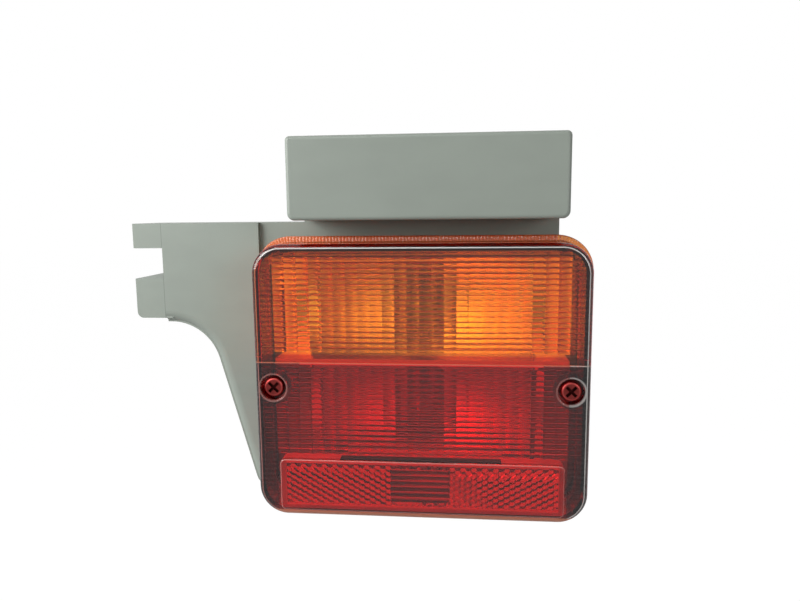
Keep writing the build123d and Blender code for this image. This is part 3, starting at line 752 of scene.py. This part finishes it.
def screw_finish(name, tint):
    """The screws in the wells: dark plating whose red tint is a painted reflection of the red wells,
    painted shade in the cross recess, and a painted highlight of paler plating round the head's edge.
    """
    finish = material(name)
    x, y, z = finish.place()
    away = from_screw(x - lens_place.x, z - lens_place.z)
    # Painted shade in the cross recess
    recess = (y > screw_low.y + RECESS_SHADE) * (away < RECESS_REACH)
    # Painted highlight of paler plating round the head's edge
    painted_head_highlight = (away - HEAD_EDGE).line(HEAD_LINE)
    cloud = finish.noise(size=0.002, detail=4.0)
    plated = finish.blend(cloud.spread(*CLOUD), rgba(tint), rgba(tint, 1.5))
    plated = finish.blend(painted_head_highlight, plated, rgba(tint, 2.4))
    base = finish.blend(recess, plated, rgba(tint, 0.3))
    gloss = 0.34 + cloud * 0.08 + recess * 0.3
    return finish.show(finish.skin(Base_Color=base, Roughness=gloss, Metallic=1.0,
                                   Normal=finish.bump(cloud, 0.000006)))


def backing_finish(name, tint, shade):
    """The pale cover behind the reflex strip; the front of its shade along the top is dark, partly its own
    dark moulding and partly a painted shadow of the slot above the strip.
    """
    finish = material(name)
    x, y, z = finish.place()
    above = (z > lens_place.z + SHADE_LOW) * (abs(x - lens_place.x) < SHADE_HALF)
    # The shade's front: dark moulding and a painted shadow of the slot above the strip
    dark_shade_and_slot_shadow = above * (y < lens_place.y + SHADE_BACK)
    cloud = finish.noise(size=0.008, detail=4.0)
    fine = finish.noise(size=0.0005, detail=2.0)
    pale = finish.blend(cloud.spread(*CLOUD), rgba(tint, 0.92), rgba(tint, 1.06))
    base = finish.blend(dark_shade_and_slot_shadow, pale, rgba(shade))
    return finish.show(finish.skin(Base_Color=base, Roughness=0.4 + fine * 0.1,
                                   Normal=finish.bump(fine, 0.00001)))


def dress(names, finished):
    """Gives CAD nodes a finish."""
    for name in names:
        mesh = nodes[name].data
        mesh.materials.clear()
        mesh.materials.append(finished)


# Pieces

class LAMP_OT_lens(bpy.types.Operator):
    """Makes the amber and red halves of the lens, with pillows, ribs, wells and reflex prisms"""
    bl_idname = "lamp.lens"
    bl_label = "Lens"

    def execute(self, context):
        colours = context.scene.lamp_colours
        lens = in_millimetres(context.scene.lamp_sizes)
        red = self.shell(lens)
        self.hollow(red, lens)
        amber = red.copy()
        amber.data = red.data.copy()
        context.scene.collection.objects.link(amber)
        wide, tall, deep = lens.width, lens.height, 2 * lens.depth
        upper = block("upper", (-wide, -deep, lens.weld + WELD_GAP), (wide, deep, tall))
        lower = block("lower", (-wide, -deep, -tall), (wide, deep, lens.weld - WELD_GAP))
        carve(amber, upper, "INTERSECT")
        carve(red, lower, "INTERSECT")
        self.reflex(red, lens)
        self.wells(red, lens)
        self.hand_in(amber, "amber_lens", colours.amber, AMBER_TONES)
        self.hand_in(red, "red_lens", colours.red, RED_TONES)
        return {"FINISHED"}

    def hand_in(self, piece, node, tint, tones):
        """Finishes a half of the lens in its CAD node's place."""
        piece.name = node + "_fluted"
        piece.data.name = piece.name
        smooth(piece)
        piece.data.materials.clear()
        piece.data.materials.append(clear(piece.name + "_finish", tint, tones=tones))
        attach(piece, "root")
        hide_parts(node)

    def shell(self, lens):
        """The outside: a flat front rolled into the skirt, and the ribbed flange at the skirt's end."""
        path, normal, wave = ribbed_path(lens.width / 2, lens.height / 2, lens.corner, lens.rib_pitch)
        roll = lens.front_round
        profile = np.concatenate([
            arc_points((lens.lip + roll, lens.face + roll), roll, -90, -180),
            arc_points((lens.lip - SKIRT_ROOT, -lens.flange - SKIRT_ROOT), SKIRT_ROOT, 0, 90, 4),
            arc_points((LIP_EDGE, LIP_EDGE - lens.flange), LIP_EDGE, -90, -180, 5),
            [(0.0, 0.0)],
        ])
        on_flange = (profile[:, 1] > -lens.flange - STEP) & (profile[:, 1] < -LIP_EDGE)
        return swept("lens", path, normal, profile, on_flange[:, None] * wave * lens.rib_rise)

    def hollow(self, shell, lens):
        """Cuts the inside: a ribbed prism under a front of pillows, each the sum of two circular arcs."""
        half_x = lens.width / 2 - lens.lip - lens.wall
        half_z = lens.height / 2 - lens.lip - lens.wall
        xs, pillow, optic, margin = self.across(half_x, lens)
        window = np.abs(xs) < WINDOW_HALF
        flat = np.zeros(len(xs))
        zs = [-half_z - OVERREACH]
        rows = [flat]
        bands = ((REFLEX_LOW, REFLEX_HIGH, False), (RED_LOW, lens.weld - BAND_BELOW, True),
                 (lens.weld + BAND_ABOVE, AMBER_HIGH, True))
        for low, high, pillows in bands:
            points, offset, half = cells(low, high, lens.flute_pitch, PILLOW_STEPS)
            flute = arc_height(offset, half, lens.flute_slope)[:, None]
            relief = optic * (flute + pillow) + margin * flute if pillows else window * flute
            zs += [low - STEP, *points, high + STEP]
            rows += [flat, *relief, flat]
        zs.append(half_z + OVERREACH)
        rows.append(flat)
        plug = relief_block("plug", xs, np.array(zs), lens.inside + np.array(rows), PLUG_BACK)
        corner = lens.corner - lens.lip - lens.wall
        path, normal, wave = ribbed_path(half_x, half_z, corner, lens.rib_pitch)
        ring = path - lens.rib_rise * wave[:, None] * normal
        prism = np.stack([np.stack([ring[:, 0], np.full(len(ring), y), ring[:, 1]], -1)
                          for y in (2 * lens.inside, PRISM_BACK)])
        carve(plug, lofted("prism", prism), "INTERSECT")
        carve(shell, plug, "DIFFERENCE")

    def across(self, half_x, lens):
        """Places across the front, with the height of the pillows there, and 1 in the optic and in the
        margins at its two sides, which a groove parts from it."""
        half = half_x - MARGIN_WIDTH
        columns, offset, column_half = cells(-half, half, lens.column_pitch, PILLOW_STEPS)
        far = half_x + OVERREACH
        groove = half + MARGIN_GROOVE
        right = [half + STEP, groove - STEP, groove, far]
        xs = np.concatenate([[-x for x in reversed(right)], columns, right])
        none = np.zeros(len(right))
        pillow = np.concatenate([none, arc_height(offset, column_half, lens.column_slope), none])
        optic = np.concatenate([none, np.ones(len(columns)), none])
        margin = np.concatenate([[1, 1, 0, 0], np.zeros(len(columns)), [0, 0, 1, 1]])
        return xs, pillow, optic, margin

    def reflex(self, red, lens):
        """The raised strip on the front, and two fields of cube corners behind it, beside the window."""
        path, normal = rounded_path(STRIP_HALF_X, STRIP_HALF_Z, STRIP_CORNER, STRIP_STEPS)
        round_middle = (STRIP_ROUND, lens.face - STRIP_RISE + STRIP_ROUND)
        profile = np.concatenate([arc_points(round_middle, STRIP_ROUND, -90, -180, 6),
                                  [(0.0, lens.face + lens.front / 2)]])
        carve(red, swept("strip", path + [0, STRIP_Z], normal, profile), "UNION")
        side = STRIP_HALF_X - STRIP_BORDER
        for hand in (-1, 1):
            field = self.corner_cubes(hand, side, lens)
            left, right = sorted((0.0, hand * side))
            edge = block("field edge", (left, -CUTTER_HALF, FIELD_LOW), (right, CUTTER_HALF, FIELD_HIGH))
            carve(field, edge, "INTERSECT")
            window = block("window", (-WINDOW_HALF, -CUTTER_HALF, REFLEX_LOW),
                           (WINDOW_HALF, CUTTER_HALF, REFLEX_HIGH))
            carve(field, window, "DIFFERENCE")
            carve(red, field, "UNION")

    def corner_cubes(self, hand, far, lens):
        """A block with cube corners on its back: a triangular lattice whose rows are half a step apart in
        turn, with heights that step 0, 1, 2 along each row, so that every three neighbouring faces stand
        square to each other. The field at the other hand is its mirror image."""
        step = lens.prism_pitch / sqrt(3)
        rise = step / sqrt(2)
        row_gap = step * sqrt(3) / 2
        columns = np.arange(int(far / step) + 5)
        rows = np.arange(int((FIELD_HIGH - FIELD_LOW) / row_gap) + 4)
        column, row = np.meshgrid(columns, rows)
        x = hand * (column - 2 + (row % 2) / 2) * step
        z = FIELD_LOW + (row - 1) * row_gap
        level = (2 * row + column - row // 2) % 3
        y = lens.inside - CUBE_ROOT + level * rise
        index = np.arange(column.size).reshape(column.shape)
        a, b, d, e = index[:-1, :-1], index[:-1, 1:], index[1:, :-1], index[1:, 1:]
        even = (row[:-1, :-1] % 2 == 0)[..., None, None]
        first = np.stack([np.stack([a, b, d], -1), np.stack([b, e, d], -1)], -2)
        second = np.stack([np.stack([a, b, e], -1), np.stack([a, e, d], -1)], -2)
        triangles = np.where(even, first, second).reshape(-1, 3).tolist()
        points = np.stack([x, y, z], -1).reshape(-1, 3)
        return backed("cubes", points, index, triangles, lens.inside - CUBE_BASE)

    def wells(self, red, lens):
        """A tube behind each screw well, and the stepped hole down it with an eased rim."""
        radius, face = lens.well_radius, lens.face
        floor_front = face + WELL_DEPTH
        floor_back = floor_front + WELL_FLOOR
        outside = [(radius + WELL_WALL, face + lens.front / 2), (radius + WELL_WALL, floor_back)]
        rim = [(radius + out, face + back) for out, back in WELL_RIM]
        hole = [*rim, (radius, floor_front), (WELL_HOLE, floor_front), (WELL_HOLE, floor_back + WELL_PAST)]
        for x in (-lens.well_x, lens.well_x):
            carve(red, turned("tube", outside, x, lens.well_z), "UNION")
            carve(red, turned("hole", hole, x, lens.well_z), "DIFFERENCE")


class LAMP_OT_carrier(bpy.types.Operator):
    """Gives the carrier its grey-green moulded finish"""
    bl_idname = "lamp.carrier"
    bl_label = "Carrier"

    def execute(self, context):
        tint = context.scene.lamp_colours.carrier
        # With a painted shadow line along the step at the fork's root
        plastic = moulded("carrier_moulding", tint, roughness=0.46, grain=0.0004, depth=0.000012,
                          variety=0.035, painted_shadow_line=painted_fork_shadow)
        dress(["carrier"], plastic)
        return {"FINISHED"}


class LAMP_OT_body(bpy.types.Operator):
    """Finishes the lamp body, its gasket, its pad and the reflex backing"""
    bl_idname = "lamp.body"
    bl_label = "Lamp body"

    def execute(self, context):
        c = context.scene.lamp_colours
        dress(["lamp_body"], body_finish("body_moulding", c.body, c.metallised))
        rubber = moulded("gasket_rubber", c.rubber, roughness=0.6, grain=0.0005, depth=0.00001, variety=0.2)
        dress(["lens_gasket"], rubber)
        foam = moulded("pad_foam", c.foam, roughness=0.9, grain=0.0009, depth=0.0002, variety=0.25)
        dress(["body_seal_pad"], foam)
        # The shade's front on the backing takes the body's black, partly as a painted shadow of the slot
        dress(["reflex_backing"], backing_finish("backing_moulding", c.backing, c.body))
        return {"FINISHED"}


class LAMP_OT_reflectors(bpy.types.Operator):
    """Finishes the two metallised dishes"""
    bl_idname = "lamp.reflectors"
    bl_label = "Reflectors"

    def execute(self, context):
        tint = context.scene.lamp_colours.metallised
        dress(["indicator_reflector", "stop_reflector"], dish_finish("dish_metallised", tint))
        return {"FINISHED"}


class LAMP_OT_bulbs(bpy.types.Operator):
    """Finishes the bulbs"""
    bl_idname = "lamp.bulbs"
    bl_label = "Bulbs"

    def execute(self, context):
        c = context.scene.lamp_colours
        glass = clear("bulb_glass", (1.0, 1.0, 1.0), roughness=0.005, film=c.smoke)
        dress(["indicator_bulb_glass", "stop_bulb_glass"], glass)
        brass = metal("cap_brass", c.brass, roughness=0.35, tarnish=0.5)
        dress(["indicator_bulb_cap", "stop_bulb_cap"], brass)
        wire = metal("filament_wire", c.steel, roughness=0.35, tarnish=0.5)
        dress(["indicator_bulb_mount", "stop_bulb_mount"], wire)
        return {"FINISHED"}


class LAMP_OT_contacts(bpy.types.Operator):
    """Finishes the sockets, contacts, strap and rivets"""
    bl_idname = "lamp.contacts"
    bl_label = "Sockets and contacts"

    def execute(self, context):
        c = context.scene.lamp_colours
        plating = metal("socket_plating", c.socket, roughness=0.4)
        dress(["indicator_bulb_socket", "stop_bulb_socket"], plating)
        dress(["earth_strap"], metal("strap_plating", c.steel, roughness=0.38, brushed=(1.0, 1.0, 0.15)))
        dress(["socket_rivets"], metal("rivet_plating", c.steel, roughness=0.3))
        brass = metal("contact_brass", c.brass, roughness=0.28, brushed=(1.0, 0.15, 1.0))
        dress(["indicator_contact", "stop_contact", "tail_contact"], brass)
        board = moulded("pressed_board", c.board, roughness=0.7, grain=0.0006, depth=0.00003, variety=0.2)
        dress(["indicator_contact_insulator", "stop_contact_insulator"], board)
        return {"FINISHED"}


class LAMP_OT_screws(bpy.types.Operator):
    """Finishes the screws and their washers"""
    bl_idname = "lamp.screws"
    bl_label = "Screws"

    def execute(self, context):
        c = context.scene.lamp_colours
        dress(["lens_screws"], screw_finish("lens_screw_plating", c.screw))
        dress(["body_screws"], metal("body_screw_plating", c.steel, roughness=0.36))
        rubber = moulded("washer_rubber", c.rubber, roughness=0.6, grain=0.0004, depth=0.00001, variety=0.2)
        dress(["lens_screw_washers", "body_screw_washers"], rubber)
        return {"FINISHED"}


class LAMP_OT_stage(bpy.types.Operator):
    """Makes the floor, the soft lights, the white surroundings and the camera"""
    bl_idname = "lamp.stage"
    bl_label = "Stage"

    def execute(self, context):
        stage = context.scene.lamp_stage
        self.floor(context.scene, stage)
        self.world(context.scene, stage)
        for name, (brightness, azimuth, elevation, distance, size) in SOFTBOXES.items():
            towards = (radians(azimuth), radians(elevation))
            lamp = self.softbox(name, *towards, distance, size, getattr(stage, brightness))
            context.scene.collection.objects.link(lamp)
        self.camera(context.scene, stage)
        context.scene.view_settings.view_transform = "Standard"
        return {"FINISHED"}

    def floor(self, scene, stage):
        """A flat square far larger than the lamp: plain white where it is looked at, and pale where lit."""
        corners = np.array([[-1, -1], [1, -1], [1, 1], [-1, 1]]) * FLOOR_HALF
        points = np.column_stack([corners, np.full(4, cad_low.z - stage.drop)])
        mesh = bpy.data.meshes.new("floor")
        mesh.from_pydata(points.tolist(), [], [[0, 1, 2, 3]])
        floor = bpy.data.objects.new("floor", mesh)
        scene.collection.objects.link(floor)
        finish = material("floor_white")
        matt = finish.node("ShaderNodeBsdfDiffuse", None, {"Color": FLOOR_GREY}).outputs[0]
        white = finish.node("ShaderNodeEmission", None, {"Color": WHITE, "Strength": FLOOR_GLOW}).outputs[0]
        path = finish.node("ShaderNodeLightPath")
        _, y, _ = finish.place()
        through = finish.value(path, "Is Transmission Ray") * y.spread(*FLOOR_FADE)
        mirrored = finish.value(path, "Is Glossy Ray") * MIRRORED
        seen = finish.value(path, "Is Camera Ray").larger(through).larger(mirrored)
        mesh.materials.append(finish.show(finish.mix(seen * FLOOR_SEEN, matt, white)))

    def world(self, scene, stage):
        """Even light, stronger from behind; plain white where the camera or a clear piece looks at the
        backdrop, and a duller room in front where it is mirrored."""
        scene.world = bpy.data.worlds.new("studio")
        finish = Finish(scene.world)
        point = finish.node("ShaderNodeTexCoord").outputs["Generated"]
        toward = finish.node("ShaderNodeSeparateXYZ", None, {0: point})
        x, y, z = (finish.value(toward, i) for i in range(3))
        even = (1.0 - x * stage.slant) * stage.world + y.spread(*BACK_SPAN) * stage.back
        around = z.spread(*ROOM_TOP).larger(abs(x).spread(*ROOM_SIDES)).larger(y.spread(*ROOM_BACK))
        room = around * (1.0 - stage.room) + stage.room
        path = finish.node("ShaderNodeLightPath")
        strength = even.larger(finish.value(path, "Is Glossy Ray") * MIRRORED)
        strength = strength + finish.value(path, "Is Transmission Ray") * (room - strength)
        strength = strength.larger(finish.value(path, "Is Camera Ray"))
        light = finish.node("ShaderNodeBackground", None, {"Color": WHITE, "Strength": strength}).outputs[0]
        finish.node("ShaderNodeOutputWorld", None, {"Surface": light})

    def softbox(self, name, azimuth, elevation, distance, size, brightness):
        """A soft light in front of the lens, turned to its middle."""
        light = bpy.data.lights.new(name, "AREA")
        light.shape = "RECTANGLE"
        light.size, light.size_y = size
        light.energy = pi * size[0] * size[1] * brightness
        lamp = bpy.data.objects.new(name, light)
        away = Vector((sin(azimuth) * cos(elevation), -cos(azimuth) * cos(elevation), sin(elevation)))
        lamp.location = lens_place + away * distance
        lamp.rotation_euler = away.to_track_quat("Z", "Y").to_euler()
        lamp.visible_camera = False
        return lamp

    def camera(self, scene, stage):
        """Stands where the photographer stood, and looks straight ahead from there."""
        data = bpy.data.cameras.new("camera")
        data.sensor_width = 36.0
        data.sensor_fit = "HORIZONTAL"
        data.lens = stage.focal
        data.clip_start = 0.01
        data.clip_end = 50.0
        near = cos(stage.pitch)
        ahead = Vector((sin(stage.yaw) * near, cos(stage.yaw) * near, sin(stage.pitch)))
        right = Vector((cos(stage.yaw), -sin(stage.yaw), 0.0))
        up = right.cross(ahead)
        level = right * cos(stage.roll) + up * sin(stage.roll)
        rise = up * cos(stage.roll) - right * sin(stage.roll)
        turn = Matrix((level, rise, -ahead)).transposed().to_4x4()
        camera = bpy.data.objects.new("camera", data)
        camera.matrix_world = Matrix.Translation(lens_place + Vector(CAMERA_PLACE) * MM) @ turn
        scene.collection.objects.link(camera)
        scene.camera = camera


class LAMP_PT_panel(bpy.types.Panel):
    """Lists the steps that dress the lamp"""
    bl_idname = "LAMP_PT_panel"
    bl_label = "Rear lamp"
    bl_space_type = "VIEW_3D"
    bl_region_type = "UI"
    bl_category = "Lamp"

    def draw(self, context):
        for step in STEPS:
            self.layout.operator(step.bl_idname)


STEPS = [LAMP_OT_lens, LAMP_OT_carrier, LAMP_OT_body, LAMP_OT_reflectors, LAMP_OT_bulbs, LAMP_OT_contacts,
         LAMP_OT_screws, LAMP_OT_stage]
GROUPS = {"lamp_sizes": LampSizes, "lamp_colours": LampColours, "lamp_stage": LampStage}


def register():
    for kind in (*GROUPS.values(), *STEPS, LAMP_PT_panel):
        bpy.utils.register_class(kind)
    for name, group in GROUPS.items():
        setattr(bpy.types.Scene, name, bpy.props.PointerProperty(type=group))


def unregister():
    for name in GROUPS:
        delattr(bpy.types.Scene, name)
    for kind in (LAMP_PT_panel, *reversed(STEPS), *GROUPS.values()):
        bpy.utils.unregister_class(kind)


def main():
    register()
    for step in STEPS:
        group, name = step.bl_idname.split(".")
        getattr(getattr(bpy.ops, group), name)()


if __name__ == "__main__":
    main()
